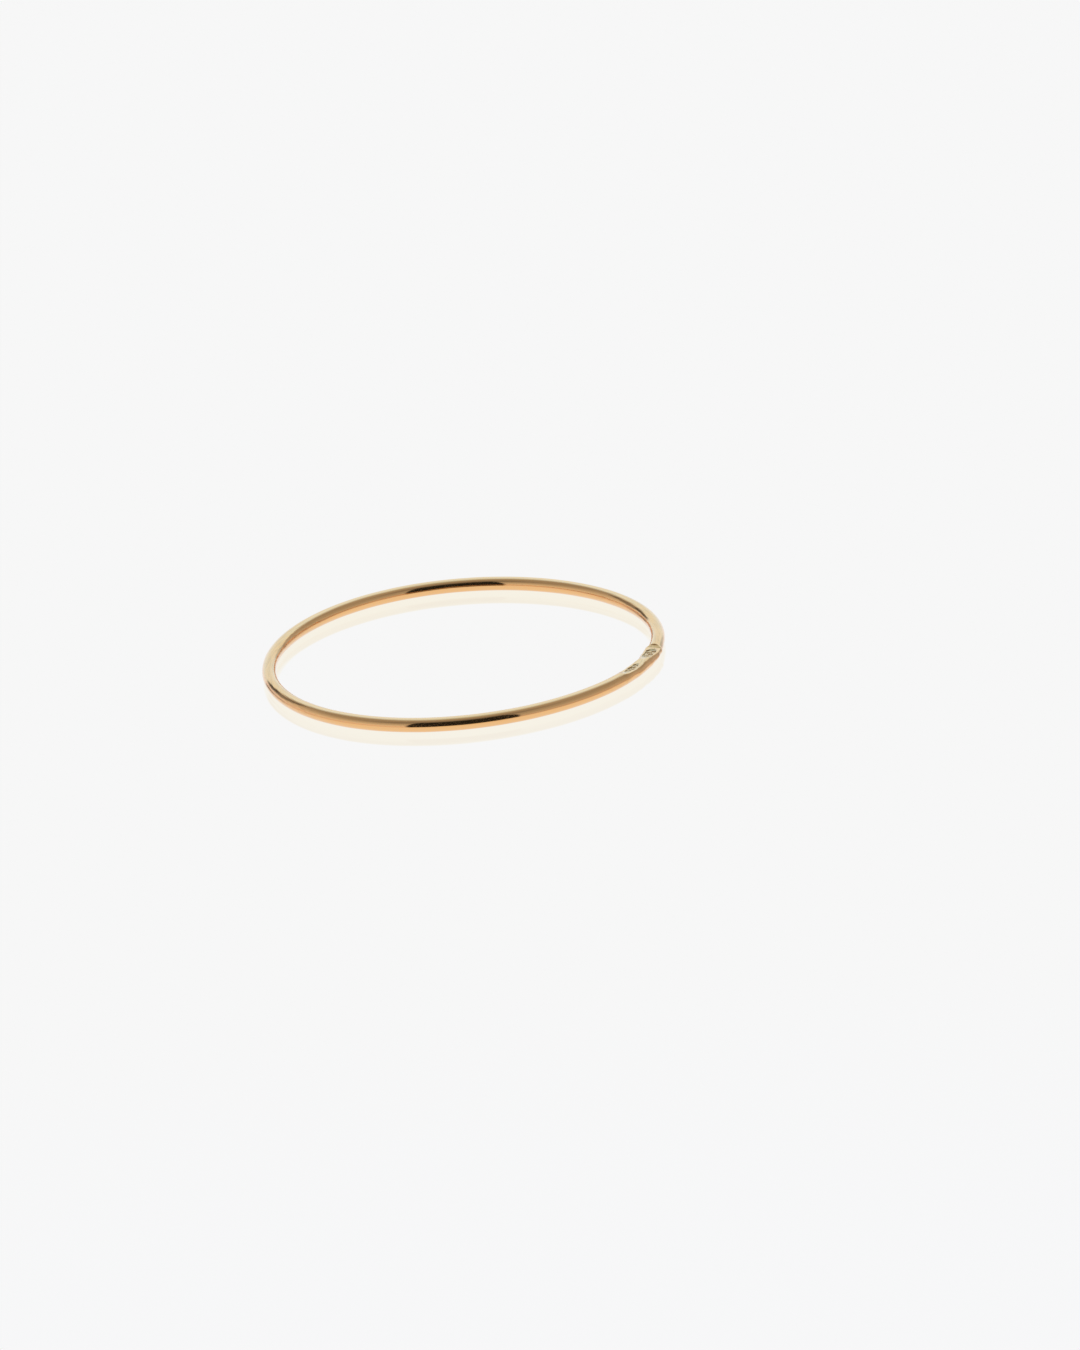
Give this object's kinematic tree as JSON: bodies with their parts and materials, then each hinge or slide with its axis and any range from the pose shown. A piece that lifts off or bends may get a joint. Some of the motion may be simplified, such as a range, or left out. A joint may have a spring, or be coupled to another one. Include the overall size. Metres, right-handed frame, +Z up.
{
  "type": "stackable ring",
  "caption": "Thin plain finger ring of round gold wire, a closed loop for stacking, with small punch marks struck into its upper side.",
  "frame": {"origin": "middle of the finger hole, on the surface that the ring lies on", "axes": "+Z up along the finger hole, with the struck marks on the upper side; +X to the right of the picture; +Y away from the camera"},
  "size_m": [0.0183, 0.0184, 0.0007],
  "materials": {
    "ring_gold": null
  },
  "bodies": {
    "root": {"ring_band": "ring_gold"}
  },
  "joints": []
}
